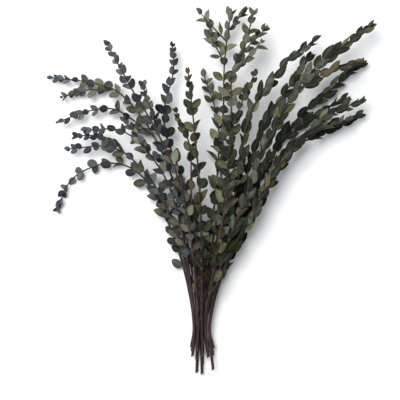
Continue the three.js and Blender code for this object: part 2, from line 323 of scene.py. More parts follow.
twigs = {b.name: twigs_of(b, i + 1) for i, b in enumerate(BRANCHES)}
print("twigs:", sum(len(group) for group in twigs.values()))

# %% [markdown]
# ## Where each leaf is
#
# A leaf's upper face looks at its twig, and the stalk twists to hold the blade more level. Where a
# leaf had no room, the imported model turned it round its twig, folded it, or left it out. The packed
# model's own corners say which: a leaf's tip is a corner of the solid, so the way of holding the
# leaf whose tip falls on a corner is the one that was used.

# %% Leaf axes and the choices at each place
FACES_DOWN = -0.3  # a leaf whose face looks down more than this is levelled face down
DRAWS = SimpleNamespace(gap=0.125, start=0.25, fallen=0.375, wobble=0.5, spiral=0.75)


def chance(n):
    """A repeatable number from 0 to 1."""
    raw = math.sin(n * 12.9898) * 43758.5453
    return raw - math.floor(raw)


def mix(a, b, share):
    return a + (b - a) * share


def leaf_axes(toward, turn, opens):
    turn, opens = math.radians(turn), math.radians(opens)
    side = toward.cross(Vector((0, 0, 1))).normalized()
    top = side.cross(toward)
    outward = side * math.cos(turn) + top * math.sin(turn)
    along = toward * math.cos(opens) + outward * math.sin(opens)
    inward = toward * math.sin(opens) - outward * math.cos(opens)
    level = (Vector((0, 0, 1)) - along * along.z).normalized()
    twist = -LEVELLING if inward.dot(level) < FACES_DOWN else LEVELLING
    face = (inward * (1 - LEVELLING) + level * twist).normalized()
    return outward, along, face


def leaf_places(twig):
    """Each place for a leaf on a twig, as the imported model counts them."""
    kind = LEAVES[twig.kind]
    total = length_of(twig.route)
    stagger = STAGGER + mix(-SPIRAL, SPIRAL, chance(twig.seed + DRAWS.spiral))
    start = STAGGER * chance(twig.seed + DRAWS.start)
    distance, pair = twig.leafy, 0
    while distance < total:
        grown = min(1, (total - distance) / YOUNG_STRETCH)
        growth = mix(kind.young, 1, grown) * mix(*SIZES, chance(twig.seed + pair))
        wobble = mix(-WOBBLE, WOBBLE, chance(twig.seed + pair + DRAWS.wobble))
        spin = start + pair * stagger + wobble
        for side in (0, 180):
            if chance(twig.seed + pair + side + DRAWS.fallen) < FALLEN:
                continue
            opens = kind.opens * mix(*OPENINGS, chance(twig.seed + pair + side))
            yield SimpleNamespace(
                distance=distance, root=BLADE_ROOT * mix(*twig.radii, distance / total),
                turn=spin + side, opens=opens * mix(YOUNG_OPENS, 1, grown),
                length=kind.length * growth, young=1 - grown,
            )
        uneven = mix(1 - UNEVEN, 1 + UNEVEN, chance(twig.seed + pair + DRAWS.gap))
        distance += kind.length * growth * (mix(kind.tight, kind.gap, grown) * uneven)
        pair += 1


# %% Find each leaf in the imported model
TIP_MATCH = 0.1  # how far a leaf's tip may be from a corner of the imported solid
WAX_FROM, WAX_OVER = 140, 80  # how far from the middle young leaves start to keep their wax


def corners_of(node):
    vertices = node.data.vertices
    tree = mathutils.kdtree.KDTree(len(vertices))
    for vertex in vertices:
        tree.insert(vertex.co / MM, vertex.index)
    tree.balance()
    return tree


def held_leaf(twig, place, corners):
    """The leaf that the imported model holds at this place, or None."""
    at, toward = point_along(twig.route, place.distance)
    for fold in FOLDS:
        for turn in TURNS:
            outward, along, face = leaf_axes(toward, place.turn + turn, place.opens * fold)
            tip = at + outward * place.root + along * place.length
            if corners.find(tip)[2] < TIP_MATCH:
                return SimpleNamespace(at=at + outward * place.root, along=along, face=face)
    return None


def smooth_shift(twig, distance):
    """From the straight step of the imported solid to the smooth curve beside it."""
    i, into = step_at(twig.route, distance)
    share = into / (twig.route[i + 1] - twig.route[i]).length
    smooth = curve_point(twig.points, mix(twig.stops[i], twig.stops[i + 1], share))
    return smooth - point_along(twig.route, distance)[0]


def outer_share(at):
    """0 in the middle of the bunch and 1 at its outermost tips, where nothing rubs the wax off."""
    return min(1, max(0, (at.xy.length - WAX_FROM) / WAX_OVER))


leaves = {}
places = 0
for b in BRANCHES:
    corners = corners_of(frame["nodes"][b.name])
    leaves[b.name] = []
    for shoot in twigs[b.name]:
        for place in leaf_places(shoot):
            places += 1
            leaf = held_leaf(shoot, place, corners)
            if leaf:
                leaf.at = leaf.at + smooth_shift(shoot, place.distance)
                leaf.length, leaf.wax = place.length, place.young * outer_share(leaf.at)
                leaf.kind = shoot.kind
                leaves[b.name].append(leaf)
print("leaves found:", sum(len(found) for found in leaves.values()), "of", places, "places")

# %% [markdown]
# ## Trees of nodes
#
# Materials, twigs and leaves are all built from nodes. One helper adds a node to a tree, sets its
# options, and fills or links its inputs, so that each tree below reads as a list of what it does.

# %% Add a node and link its inputs


def node(tree, kind, inputs=(), **options):
    made = tree.nodes.new(kind)
    for option, value in options.items():
        setattr(made, option, value)
    for key, value in dict(inputs).items():
        if isinstance(value, bpy.types.NodeSocket):
            tree.links.new(value, made.inputs[key])
        else:
            made.inputs[key].default_value = value
    return made


def calculate(tree, operation, *values):
    return node(tree, "ShaderNodeMath", enumerate(values), operation=operation).outputs[0]


def times(tree, a, b):
    return calculate(tree, "MULTIPLY", a, b)


def blend(tree, share, a, b):
    """Mix two colours. A Mix node has sockets for each kind of data: 6, 7 and 2 are for colours."""
    return node(tree, "ShaderNodeMix", {0: share, 6: a, 7: b}, data_type="RGBA").outputs[2]


def spread(tree, value, low, high, to_low=0.0, to_high=1.0):
    """Map a value from low..high to another range, softly and without overshoot."""
    inputs = {0: value, 1: low, 2: high, 3: to_low, 4: to_high}
    return node(tree, "ShaderNodeMapRange", inputs, interpolation_type="SMOOTHSTEP").outputs[0]


def noise(tree, place, scale, detail=2.0, roughness=0.5):
    inputs = {"Vector": place, "Scale": scale, "Detail": detail, "Roughness": roughness}
    return node(tree, "ShaderNodeTexNoise", inputs).outputs["Fac"]


def attribute(tree, name):
    return node(tree, "ShaderNodeAttribute", attribute_name=name).outputs["Fac"]


def ramp(tree, value, stops):
    made = node(tree, "ShaderNodeValToRGB", {"Fac": value})
    elements = made.color_ramp.elements
    while len(elements) < len(stops):
        elements.new(0.5)
    for element, (place, colour) in zip(elements, stops):
        element.position = place
        element.color = (*colour, 1)
    return made.outputs["Color"]


def shader_group(name, inputs, outputs):
    """A new shader group, with its inputs and outputs named. Every input has a type and a value."""
    group = bpy.data.node_groups.new(name, "ShaderNodeTree")
    for socket, (kind, value) in inputs.items():
        made = group.interface.new_socket(socket, in_out="INPUT", socket_type=kind)
        if value is not None:
            made.default_value = value
    for socket in outputs:
        group.interface.new_socket(socket, in_out="OUTPUT", socket_type="NodeSocketFloat")
    return group, node(group, "NodeGroupInput").outputs, node(group, "NodeGroupOutput").inputs


helpers = [node, calculate, times, blend, spread, noise, attribute, ramp, shader_group]
print("helpers:", [helper.__name__ for helper in helpers])

# %% [markdown]
# ## The finish of a dried leaf
#
# A fresh eucalyptus leaf has a waxy bloom. Dried, it turns matt, and its colour goes from grey-green
# to olive, slate or brown. The side that faced the twig is greener. The back is bluer, and so are
# young leaves at the outer tips, because they keep their wax. Leaves that lie under many others get
# painted shade: their colour is drawn towards near black. A midrib and fine side veins stand out,
# the rim dries first and browns, and small dark spots mark old rain and insects.
#
# A leaf can be painted from a picture, but then every leaf carries the same marks. Here each blade
# has its own flat map, u across and v along, and the veins are worked out from that map. The blotches
# and spots come from the leaf's place in the bunch instead, so that no two leaves match. Both
# effects are groups, because two leaf finishes share them.

# %% Group: veins, rim and stalk, from the leaf's own map
leaf_veins, given, out = shader_group(
    "leaf_veins",
    {"Map": ("NodeSocketVector", None), "Waver": ("NodeSocketFloat", 0.0),
     "Side veins": ("NodeSocketFloat", 8.0), "Slant": ("NodeSocketFloat", 1.1),
     "Rim width": ("NodeSocketFloat", 0.12)},
    ["Midrib", "Side veins", "Rim", "Stalk"],
)
across, along, _ = node(leaf_veins, "ShaderNodeSeparateXYZ", {0: given["Map"]}).outputs
off_centre = calculate(leaf_veins, "ABSOLUTE", calculate(leaf_veins, "SUBTRACT", across, 0.5))
leaf_veins.links.new(spread(leaf_veins, off_centre, 0.07, 0.02), out["Midrib"])
drift = times(leaf_veins, off_centre, given["Slant"])
slanted = calculate(leaf_veins, "SUBTRACT", along, drift)
rows = calculate(leaf_veins, "MULTIPLY_ADD", slanted, given["Side veins"], given["Waver"])
ridge = calculate(leaf_veins, "PINGPONG", rows, 0.5)
leaf_veins.links.new(spread(leaf_veins, ridge, 0.2, 0.0), out["Side veins"])
inner_rim = calculate(leaf_veins, "SUBTRACT", 0.5, given["Rim width"])
leaf_veins.links.new(spread(leaf_veins, off_centre, inner_rim, 0.5), out["Rim"])
leaf_veins.links.new(spread(leaf_veins, along, 0.16, 0.07), out["Stalk"])
print("leaf_veins:", len(leaf_veins.nodes), "nodes")

# %% Group: the blotches, spots and wrinkles of something dried
dry_mottle, given, out = shader_group(
    "dry_mottle",
    {"Place": ("NodeSocketVector", None), "Blotch size": ("NodeSocketFloat", 110.0),
     "Spot size": ("NodeSocketFloat", 650.0), "Spots": ("NodeSocketFloat", 0.67)},
    ["Blotch", "Spot", "Wrinkle"],
)
dry_mottle.links.new(noise(dry_mottle, given["Place"], given["Blotch size"], 3, 0.6), out["Blotch"])
specks = noise(dry_mottle, given["Place"], given["Spot size"], 1)
full_spot = calculate(dry_mottle, "ADD", given["Spots"], 0.07)
dry_mottle.links.new(spread(dry_mottle, specks, given["Spots"], full_spot), out["Spot"])
wrinkle_size = times(dry_mottle, given["Blotch size"], 7)
dry_mottle.links.new(noise(dry_mottle, given["Place"], wrinkle_size, 3, 0.65), out["Wrinkle"])
print("dry_mottle:", len(dry_mottle.nodes), "nodes")

# %% How a leaf finish is built
WAXY_BACKS = 0.78  # how much bluish wax is left on the backs
AGED_SHARE = 0.08  # the share of leaves that have turned brownish
AGED_DRAW = 17.3  # shuffles the leaves' tones, so that aged leaves come from pale and dark ones
TONE_STEPS = (0.0, 0.36, 0.68, 1.0)
BLOTCHES = (0.3, 0.7)  # the range of the blotch noise


def leaf_material(name, *, upper, back, painted_shade_colour, painted_shade_strength, waxy_tips, aged, vein, rim, stalk):
    """Upper and back are lists of tones, from the darkest leaf to the palest."""
    material = plain_material(name, upper[1], 0.75)
    tree = material.node_tree
    shader = tree.nodes["Principled BSDF"]
    shader.inputs["Specular IOR Level"].default_value = 0.07
    blade_map = node(tree, "ShaderNodeUVMap", uv_map="blade").outputs["UV"]
    place = node(tree, "ShaderNodeTexCoord").outputs["Object"]
    mottle = node(tree, "ShaderNodeGroup", {"Place": place}, node_tree=dry_mottle)
    blotch = mottle.outputs["Blotch"]
    veins = node(tree, "ShaderNodeGroup", {
        "Map": blade_map, "Waver": times(tree, blotch, 3.0)}, node_tree=leaf_veins)

    own_tone = attribute(tree, "leaf_tone")
    tone = calculate(tree, "ADD", own_tone, spread(tree, blotch, *BLOTCHES, -0.14, 0.14))
    upper_colour = ramp(tree, tone, list(zip(TONE_STEPS, upper)))
    back_colour = ramp(tree, tone, list(zip(TONE_STEPS, back)))
    waxy_back = times(tree, attribute(tree, "underside"), WAXY_BACKS)
    waxy_tip = spread(tree, attribute(tree, "wax_left"), 0.2, 1.0, 0.0, waxy_tips)
    waxy = calculate(tree, "MAXIMUM", waxy_back, waxy_tip)
    colour = blend(tree, waxy, upper_colour, back_colour)
    # Painted shade: how far a leaf's colour is drawn towards near black, by how many leaves lie over
    # it.
    deep = times(tree, attribute(tree, "sheltered"), painted_shade_strength)
    lottery = calculate(tree, "FRACT", times(tree, own_tone, AGED_DRAW))
    colour = blend(tree, spread(tree, lottery, 1 - AGED_SHARE, 1.0, 0.0, 0.8), colour, (*aged, 1))

    def mark(colour, mask, strength, mark_colour):
        return blend(tree, times(tree, mask, strength), colour, (*mark_colour, 1))

    colour = mark(colour, veins.outputs["Midrib"], 0.22, vein)
    colour = mark(colour, veins.outputs["Side veins"], 0.09, vein)
    colour = mark(colour, veins.outputs["Rim"], spread(tree, blotch, 0.35, 0.65, 0.1, 0.7), rim)
    colour = mark(colour, mottle.outputs["Spot"], 0.6, rim)
    colour = mark(colour, veins.outputs["Stalk"], 0.85, stalk)
    # Painted shade: a leaf that lies under others is blended towards a near-black colour.
    colour = blend(tree, deep, colour, (*painted_shade_colour, 1))
    tree.links.new(colour, shader.inputs["Base Color"])
    tree.links.new(spread(tree, blotch, *BLOTCHES, 0.6, 0.85), shader.inputs["Roughness"])

    fine_veins = times(tree, veins.outputs["Side veins"], 0.25)
    wrinkles = times(tree, mottle.outputs["Wrinkle"], 1.4)
    raised = calculate(tree, "ADD", veins.outputs["Midrib"], fine_veins)
    height = calculate(tree, "ADD", raised, wrinkles)
    bump = node(tree, "ShaderNodeBump", {"Strength": 0.6, "Distance": 0.00022, "Height": height})
    tree.links.new(bump.outputs["Normal"], shader.inputs["Normal"])
    return material


print("tones of each side:", len(TONE_STEPS), "share of aged leaves:", AGED_SHARE)

# %% Slate for the left-hand branches, olive for the rest
# Each finish gives the near-black colour of its painted shade and how strongly covered leaves take it.
leaf_slate = leaf_material(
    "leaf_slate",
    upper=[(0.024, 0.029, 0.023), (0.06, 0.065, 0.046), (0.112, 0.119, 0.084),
           (0.185, 0.194, 0.138)],
    back=[(0.013, 0.019, 0.03), (0.027, 0.037, 0.055), (0.049, 0.064, 0.086),
          (0.098, 0.119, 0.143)],
    painted_shade_colour=(0.008, 0.011, 0.012), painted_shade_strength=0.6, waxy_tips=1.0, aged=(0.115, 0.105, 0.058),
    vein=(0.22, 0.22, 0.16), rim=(0.034, 0.026, 0.020), stalk=(0.090, 0.045, 0.038),
)
leaf_olive = leaf_material(
    "leaf_olive",
    upper=[(0.01, 0.012, 0.006), (0.027, 0.031, 0.014), (0.068, 0.073, 0.034),
           (0.215, 0.22, 0.125)],
    back=[(0.006, 0.01, 0.01), (0.015, 0.021, 0.02), (0.04, 0.05, 0.045), (0.125, 0.14, 0.112)],
    painted_shade_colour=(0.007, 0.009, 0.004), painted_shade_strength=0.88, waxy_tips=0.45, aged=(0.105, 0.088, 0.038),
    vein=(0.21, 0.20, 0.12), rim=(0.040, 0.026, 0.012), stalk=(0.095, 0.042, 0.028),
)
print("leaf finishes:", leaf_slate.name, leaf_olive.name)

# %% [markdown]
# ## The finish of a dried twig
#
# The bark of a thin eucalyptus twig is smooth. It dries to a dark purplish brown, with pinker
# stretches, paler raised rings where leaves join, and fine grooves along its length. A fresh cut
# shows pale wood. The grooves need to follow each twig, however it bends, so the mesh carries two
# attributes: how far a point is along the twig, and how far around.

# %% The twig finish
GROOVES_ROUND, GROOVES_ALONG = 2.2, 60  # grooves are fine around a twig and long along it
twig_bark = plain_material("twig_bark", (0.08, 0.045, 0.04), 0.6)
tree = twig_bark.node_tree
shader = tree.nodes["Principled BSDF"]
shader.inputs["Specular IOR Level"].default_value = 0.2
around = times(tree, attribute(tree, "around"), math.tau)
groove_place = node(tree, "ShaderNodeCombineXYZ", {
    0: times(tree, calculate(tree, "COSINE", around), GROOVES_ROUND),
    1: times(tree, calculate(tree, "SINE", around), GROOVES_ROUND),
    2: times(tree, attribute(tree, "far_along"), GROOVES_ALONG),
}).outputs[0]
grooves = noise(tree, groove_place, 1.6, 3, 0.6)
mottle = node(tree, "ShaderNodeGroup", {
    "Place": node(tree, "ShaderNodeTexCoord").outputs["Object"], "Blotch size": 45,
    "Spots": 0.64}, node_tree=dry_mottle)
colour = ramp(tree, mottle.outputs["Blotch"], [
    (0.30, (0.014, 0.008, 0.008)), (0.48, (0.028, 0.014, 0.013)), (0.60, (0.050, 0.023, 0.021)),
    (0.74, (0.095, 0.056, 0.050)),
])
in_groove = spread(tree, grooves, 0.45, 0.65, 0.0, 0.5)
colour = blend(tree, in_groove, colour, (0.020, 0.012, 0.011, 1))
pale_spot = times(tree, mottle.outputs["Spot"], 0.4)
colour = blend(tree, pale_spot, colour, (0.20, 0.15, 0.12, 1))
pale_ring = times(tree, attribute(tree, "joint_ring"), 0.4)
colour = blend(tree, pale_ring, colour, (0.150, 0.090, 0.070, 1))
colour = blend(tree, attribute(tree, "cut_wood"), colour, (0.46, 0.36, 0.23, 1))
tree.links.new(colour, shader.inputs["Base Color"])
roughness = spread(tree, mottle.outputs["Blotch"], *BLOTCHES, 0.5, 0.72)
tree.links.new(roughness, shader.inputs["Roughness"])
wrinkles = times(tree, mottle.outputs["Wrinkle"], 0.5)
height = calculate(tree, "ADD", grooves, wrinkles)
bump = node(tree, "ShaderNodeBump", {"Strength": 0.5, "Distance": 0.0003, "Height": height})
tree.links.new(bump.outputs["Normal"], shader.inputs["Normal"])
print("twig_bark:", len(tree.nodes), "nodes")

# %% [markdown]
# ## Twigs
#
# A twig is a round rod that tapers, bends a little between its leaves, and swells into a ring at
# each pair of them. Eighteen stems and fourteen side shoots follow the same rule, so Geometry Nodes
# make them: a line of points goes in, with a radius at each point, and a bark tube comes out. The
# first ring is sheared, because a florist cuts stems at a slant.

# %% The points along one twig
RING_GAP = 3.0  # between two rings of the tube
JOINT_SWELL = 0.28  # how much thicker a twig is where leaves join
JOINT_REACH = 1.5  # how far the swelling reaches along the twig
CUT_SLOPE = 0.7  # rise over run of the slanted cut


def smooth_point(shoot, distance):
    return point_along(shoot.route, distance)[0] + smooth_shift(shoot, distance)


def rings_of(shoot, start):
    """Points of the tube, each with its radius, its distance and how near a leaf joint it is.

    A side shoot's first points are drawn to its start, which is on the stem's smooth curve.
    """
    total = length_of(shoot.route)
    joints = sorted({place.distance for place in leaf_places(shoot)})
    steps = round(total / RING_GAP)
    distances = [total * i / steps for i in range(steps + 1)]
    distances = [d for d in distances if all(abs(d - j) > RING_GAP / 2 for j in joints)]
    distances = sorted({*distances, 0.0, total, *joints, *(j - JOINT_REACH for j in joints)})
    for distance in distances:
        near = max((math.exp(-(((distance - j) / JOINT_REACH) ** 2)) for j in joints), default=0)
        point = smooth_point(shoot, distance)
        if start is not None:
            point = point + (start - shoot.route[0]) * max(0, 1 - distance / SHOOT_LEAFY)
        radius = mix(*shoot.radii, distance / total) * (1 + JOINT_SWELL * near)
        yield SimpleNamespace(point=point, radius=radius, far=distance, joint=near)


def keep(mesh, kind, **columns):
    """Store a value on each point of a mesh, once for every named column."""
    field = "vector" if kind == "FLOAT_VECTOR" else "value"
    for name, values in columns.items():
        mesh.attributes.new(name, kind, "POINT").data.foreach_set(field, values)


def line_mesh(name, group):
    """The lines of a branch's twigs, as loose edges with attributes for the tree of nodes."""
    rings, edges = [], []
    for number, shoot in enumerate(group):
        start = None
        if number:
            stem_length = length_of(group[0].route)
            grown_on = next(b for b in BRANCHES if b.name == shoot.branch)
            start = smooth_point(group[0], stem_length * grown_on.shoots[number - 1][0])
        line = list(rings_of(shoot, start))
        edges += [(len(rings) + i, len(rings) + i + 1) for i in range(len(line) - 1)]
        for ring in line:
            ring.slope = CUT_SLOPE if number == 0 and ring.far == 0 else 0.0
        rings += line
    mesh = bpy.data.meshes.new(name)
    mesh.from_pydata([ring.point * MM for ring in rings], edges, [])
    keep(mesh, "FLOAT", twig_radius=[ring.radius * MM for ring in rings],
         far_along=[ring.far * MM for ring in rings], joint_ring=[ring.joint for ring in rings],
         cut_slope=[ring.slope for ring in rings])
    return mesh


print("rings on the longest stem:", len(list(rings_of(twigs["branch_tall_centre"][0], None))))

# %% The tree that turns lines into twigs


def new_tree(name, inputs):
    tree = bpy.data.node_groups.new(name, "GeometryNodeTree")
    tree.interface.new_socket("Geometry", in_out="INPUT", socket_type="NodeSocketGeometry")
    for socket, (kind, value) in inputs.items():
        made = tree.interface.new_socket(socket, in_out="INPUT", socket_type=kind)
        if value is not None:
            made.default_value = value
    tree.interface.new_socket("Geometry", in_out="OUTPUT", socket_type="NodeSocketGeometry")
    return tree, node(tree, "NodeGroupInput").outputs, node(tree, "NodeGroupOutput").inputs


def stored(tree, name, kind="FLOAT"):
    made = node(tree, "GeometryNodeInputNamedAttribute", {"Name": name}, data_type=kind)
    return made.outputs["Attribute"]


def store(tree, geometry, name, value, kind="FLOAT", domain="POINT"):
    inputs = {"Geometry": geometry, "Name": name, "Value": value}
    options = {"data_type": kind, "domain": domain}
    return node(tree, "GeometryNodeStoreNamedAttribute", inputs, **options).outputs[0]


def vector(tree, operation, *values, result=0):
    made = node(tree, "ShaderNodeVectorMath", enumerate(values), operation=operation)
    return made.outputs[result]


def scaled(tree, direction, length):
    inputs = {0: direction, "Scale": length}
    return node(tree, "ShaderNodeVectorMath", inputs, operation="SCALE").outputs[0]


def finish_tree(tree, geometry, material, out):
    realized = node(tree, "GeometryNodeRealizeInstances", {"Geometry": geometry}).outputs[0]
    finished = node(tree, "GeometryNodeSetMaterial", {"Geometry": realized, "Material": material})
    tree.links.new(finished.outputs[0], out["Geometry"])


CUT_ACROSS = (1.0, 0.0, 0.35)  # the direction in which the slanted cut rises
twig_tree, given, out = new_tree("grow_twigs", {
    "Sides": ("NodeSocketInt", 10),
    "Wander": ("NodeSocketFloat", 0.0005),
    "Wander scale": ("NodeSocketFloat", 38.0),
    "Bark": ("NodeSocketMaterial", None),
})
line = node(twig_tree, "GeometryNodeMeshToCurve", {"Mesh": given["Geometry"]}).outputs[0]
drift = node(twig_tree, "ShaderNodeTexNoise", {"Scale": given["Wander scale"], "Detail": 1.0})
drift = vector(twig_tree, "SUBTRACT", drift.outputs["Color"], (0.5, 0.5, 0.5))
drift = scaled(twig_tree, drift, given["Wander"])
line = node(twig_tree, "GeometryNodeSetPosition", {"Geometry": line, "Offset": drift}).outputs[0]
middle = node(twig_tree, "GeometryNodeInputPosition").outputs[0]
line = store(twig_tree, line, "middle", middle, "FLOAT_VECTOR")
tangent = node(twig_tree, "GeometryNodeInputTangent").outputs[0]
line = store(twig_tree, line, "way", tangent, "FLOAT_VECTOR")
profile = node(twig_tree, "GeometryNodeCurvePrimitiveCircle", {
    "Resolution": given["Sides"], "Radius": 1.0}).outputs[0]
turn = node(twig_tree, "GeometryNodeSplineParameter").outputs["Factor"]
profile = store(twig_tree, profile, "around", turn)
tube = node(twig_tree, "GeometryNodeCurveToMesh", {
    "Curve": line, "Profile Curve": profile, "Scale": stored(twig_tree, "twig_radius"),
    "Fill Caps": True}).outputs[0]
from_middle = vector(twig_tree, "SUBTRACT", middle, stored(twig_tree, "middle", "FLOAT_VECTOR"))
sideways = vector(twig_tree, "DOT_PRODUCT", from_middle, CUT_ACROSS, result=1)
shear = times(twig_tree, sideways, stored(twig_tree, "cut_slope"))
shear = scaled(twig_tree, stored(twig_tree, "way", "FLOAT_VECTOR"), shear)
tube = node(twig_tree, "GeometryNodeSetPosition", {"Geometry": tube, "Offset": shear}).outputs[0]
finish_tree(twig_tree, tube, given["Bark"], out)
print("grow_twigs:", len(twig_tree.nodes), "nodes")

# %% [markdown]
# ## Leaf blades
#
# A dried leaf is a thin shell: a short round stalk that flattens into a blade, thickest along the
# midrib and thin at the rim. Drying cups it, folds it along the midrib, curls its tip and twists it,
# no two in the same way. Each of the hundreds of leaves could be its own mesh, but sixteen blades,
# four for each outline, are enough when each is placed at its own length and angle. A blade is a
# stack of eight-sided rings, so it is closed and has only a few dozen faces.

# %% Outline and thickness of a blade one unit long
STALK_END, STALK_RADIUS = 0.08, 0.016
ROWS = (0.0, STALK_END, 0.15, 0.28, 0.45, 0.63, 0.80, 0.93)  # the tip is one more point, at 1
ACROSS = (-1, -0.52, 0, 0.52, 1)
RIB_THICK, BLADE_THICK = 0.012, 0.007  # half the thickness at the midrib and beside it
RIB_ABOVE = 0.3  # the midrib stands out on the back, and shows above by this share of it
WAVES = 7  # how fast the rim waves along the blade, in radians
LATE_CURL = 0.25  # a blade curls mostly towards its tip
OUTLINES = {
    "round": SimpleNamespace(half=0.315, base=0.54, tip=0.66),
    "broad": SimpleNamespace(half=0.300, base=0.54, tip=0.72),
    "star": SimpleNamespace(half=0.250, base=0.62, tip=0.86),
    "feather": SimpleNamespace(half=0.222, base=0.60, tip=0.84),
}


def half_width(outline, q):
    peak = outline.base / (outline.base + outline.tip)
    full = peak**outline.base * (1 - peak) ** outline.tip
    return outline.half * q**outline.base * (1 - q) ** outline.tip / full


def blade_ring(outline, dried, s):
    """Eight points of the ring at s: five across the upper side, then three back under it."""
    q = max(0.0, (s - STALK_END) / (1 - STALK_END))
    half = half_width(outline, q) if s > STALK_END else 0
    upper, back = [], []
    for u in ACROSS:
        if half == 0:
            angle = math.pi * (1 - u) / 2
            upper.append(Vector((math.cos(angle), 0, math.sin(angle))) * STALK_RADIUS)
            back.append(Vector((math.cos(angle), 0, -math.sin(angle))) * STALK_RADIUS)
            continue
        wave = dried.wave * math.sin(WAVES * q + 2 * u) * u * u
        middle = half * (dried.cup * u * u + dried.fold * abs(u)) + wave * half
        thick = 0 if abs(u) == 1 else RIB_THICK if u == 0 else BLADE_THICK
        upper.append(Vector((u * half, 0, middle + thick * (RIB_ABOVE if u == 0 else 1))))
        back.append(Vector((u * half, 0, middle - thick)))
    twist = mathutils.Matrix.Rotation(math.radians(dried.twist) * q, 3, "Y")
    arch = Vector((dried.sweep * q * q, s, dried.curl * (q * q - LATE_CURL * q)))
    return [twist @ point + arch for point in [*upper, *reversed(back[1:-1])]]


def blade_mesh(name, outline, dried):
    rings = [blade_ring(outline, dried, s) for s in ROWS]
    tip = Vector((dried.sweep, 1, dried.curl * (1 - LATE_CURL)))
    count = len(rings[0])
    faces = [tuple(reversed(range(count)))]
    for row in range(len(rings) - 1):
        low, high = row * count, (row + 1) * count
        for k in range(count):
            j = (k + 1) % count
            faces.append((low + k, low + j, high + j, high + k))
    last = (len(rings) - 1) * count
    faces += [(last + k, last + (k + 1) % count, len(rings) * count) for k in range(count)]
    mesh = bpy.data.meshes.new(name)
    mesh.from_pydata([point for ring in rings for point in ring] + [tip], [], faces)
    return mesh


print("widest share of a round leaf:", round(half_width(OUTLINES["round"], 0.5), 3))

# %% Mark each blade's back and its map


def mark_blade(mesh):
    """The flat map, the back, and a sharp rim, which keeps the two sides' shading apart."""
    half = len(ACROSS) - 1
    count = 2 * half
    under = mesh.attributes.new("underside", "FLOAT", "FACE")
    sharp = mesh.attributes.new("sharp_edge", "BOOLEAN", "EDGE")
    blade_map = mesh.uv_layers.new(name="blade")
    rows = (*ROWS, 1.0)
    for face in mesh.polygons[1:]:
        side = (face.index - 1) % count
        under.data[face.index].value = float(side >= half)
        for corner in face.loop_indices:
            row, around = divmod(mesh.loops[corner].vertex_index, count)
            if row == len(ROWS):
                u = min(side + 0.5, count - side - 0.5) / half
            else:
                u = 0.5 + 0.5 * ACROSS[min(around, count - around)]  # the back lies under the front
            blade_map.data[corner].uv = (u, rows[row])
    rim = {0, half}
    for edge in mesh.edges:
        a, b = edge.vertices
        if a // count > 1 and (b // count == len(ROWS) or {a % count, b % count} <= rim):
            sharp.data[edge.index].value = a % count in rim
    mesh.shade_smooth()


VARIANTS = [
    SimpleNamespace(cup=0.24, fold=0.20, curl=-0.12, twist=10, sweep=0.03, wave=0.06),
    SimpleNamespace(cup=0.40, fold=0.08, curl=0.10, twist=-18, sweep=-0.05, wave=0.10),
    SimpleNamespace(cup=0.10, fold=0.46, curl=-0.22, twist=20, sweep=0.06, wave=0.05),
    SimpleNamespace(cup=-0.22, fold=0.10, curl=-0.08, twist=-8, sweep=-0.03, wave=0.14),
]
blades = bpy.data.collections.new("blades")
for kind, outline in OUTLINES.items():
    for number, dried in enumerate(VARIANTS):
        mesh = blade_mesh(f"blade_{len(blades.objects):02d}_{kind}", outline, dried)
        mark_blade(mesh)
        blades.objects.link(bpy.data.objects.new(mesh.name, mesh))

# %% [markdown]
# ## Leaves on their branches
#
# Geometry Nodes place the leaves: each point holds where its leaf joins the twig, which way it
# runs, which way its upper side looks, its length and its blade, how much wax is left on it, and
# how deep it lies under other leaves, which sets the painted shade of its colour. The tree turns
# these into a blade on each point, tips each one a little and rolls it round its stalk at random,
# and gives each a tone of its own.

# %% The tree that puts a blade on each point
# A leaf that would dip into the table is pressed flatter there: heights under 3 mm are drawn in.
PRESSED_SHARE, PRESSED_LIFT = 0.3, 2.1
TONE_DRAW = 71  # keeps the chances of tone and of tilt apart
leaf_tree, given, out = new_tree("grow_leaves", {
    "Blades": ("NodeSocketCollection", None),
    "Tilt": ("NodeSocketFloat", 8.5),
    "Roll": ("NodeSocketFloat", 5.0),
    "Palest": ("NodeSocketFloat", 1.0),
    "Darkest": ("NodeSocketFloat", 0.0),
    "Seed": ("NodeSocketInt", 1),
    "Finish": ("NodeSocketMaterial", None),
})
held = node(leaf_tree, "FunctionNodeAxesToRotation", {
    "Primary Axis": stored(leaf_tree, "runs", "FLOAT_VECTOR"),
    "Secondary Axis": stored(leaf_tree, "faces", "FLOAT_VECTOR"),
}, primary_axis="Y", secondary_axis="Z").outputs[0]
tilt = calculate(leaf_tree, "RADIANS", given["Tilt"])
roll = times(leaf_tree, tilt, given["Roll"])
most = node(leaf_tree, "ShaderNodeCombineXYZ", {0: tilt, 1: roll, 2: tilt}).outputs[0]
least = vector(leaf_tree, "MULTIPLY", most, (-1.0, -1.0, -1.0))
tipped = node(leaf_tree, "FunctionNodeRandomValue", {
    0: least, 1: most, "Seed": given["Seed"]}, data_type="FLOAT_VECTOR").outputs[0]
tipped = node(leaf_tree, "FunctionNodeEulerToRotation", {0: tipped}).outputs[0]
held = node(leaf_tree, "FunctionNodeRotateRotation", {
    0: held, 1: tipped}, rotation_space="LOCAL").outputs[0]
all_blades = node(leaf_tree, "GeometryNodeCollectionInfo", {
    "Collection": given["Blades"], "Separate Children": True, "Reset Children": True}).outputs[0]
foliage = node(leaf_tree, "GeometryNodeInstanceOnPoints", {
    "Points": given["Geometry"], "Instance": all_blades, "Pick Instance": True,
    "Instance Index": stored(leaf_tree, "blade", "INT"), "Rotation": held,
    "Scale": stored(leaf_tree, "leaf_length"),
}).outputs[0]
tone_seed = calculate(leaf_tree, "ADD", given["Seed"], TONE_DRAW)
tone = node(leaf_tree, "FunctionNodeRandomValue", {
    2: given["Darkest"], 3: given["Palest"], "Seed": tone_seed}, data_type="FLOAT").outputs[1]
